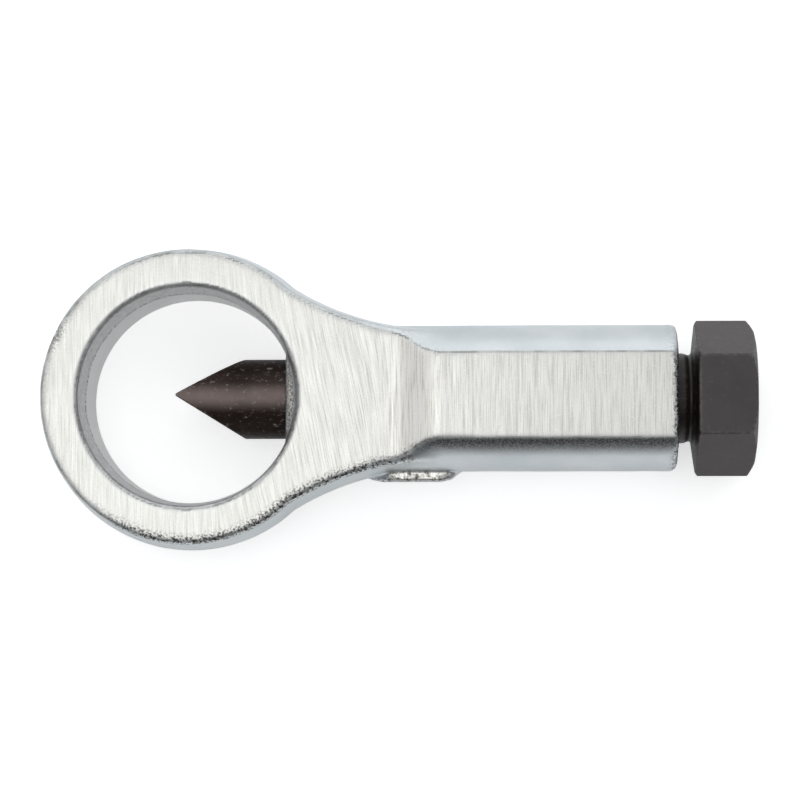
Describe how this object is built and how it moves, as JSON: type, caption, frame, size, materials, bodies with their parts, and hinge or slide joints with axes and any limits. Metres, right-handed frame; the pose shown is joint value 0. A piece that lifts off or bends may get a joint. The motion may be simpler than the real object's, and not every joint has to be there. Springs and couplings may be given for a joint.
{
  "type": "nut splitter",
  "caption": "Ring nut splitter: a forged ring with a bored shank, a wedge chisel that slides into the ring and a hexagon-headed screw that drives it to crack a seized nut.",
  "frame": {"origin": "middle of the ring that takes the nut, half way between its two faces", "axes": "+X along the screw towards its hexagon head, +Z along the ring's axis out of the front face"},
  "size_m": [0.1108, 0.0472, 0.021],
  "materials": {
    "zinc": "zinc plated, ground on the faces",
    "black_steel": "black oxide",
    "bright_steel": "polished",
    "pin_steel": "plain"
  },
  "bodies": {
    "frame": {"frame": "zinc", "guide_pin": "pin_steel"},
    "chisel": {"chisel": "black_steel", "thrust_ball": "bright_steel", "snap_ring": "pin_steel"},
    "screw": {"drive_screw": "black_steel"}
  },
  "joints": [
    {"name": "chisel_feed", "type": "slide", "parent": "frame", "child": "chisel", "axis": [-1, 0, 0], "range_m": [-0.017, 0.0026]},
    {"name": "screw_turn", "type": "hinge", "parent": "chisel", "child": "screw", "pos_m": [0.06, 0, 0], "axis": [-1, 0, 0], "range_deg": [-4090, 630]}
  ],
  "couplings": [
    {"joint": "screw_turn", "follows": "chisel_feed", "rad_per_m": 4188.8}
  ]
}
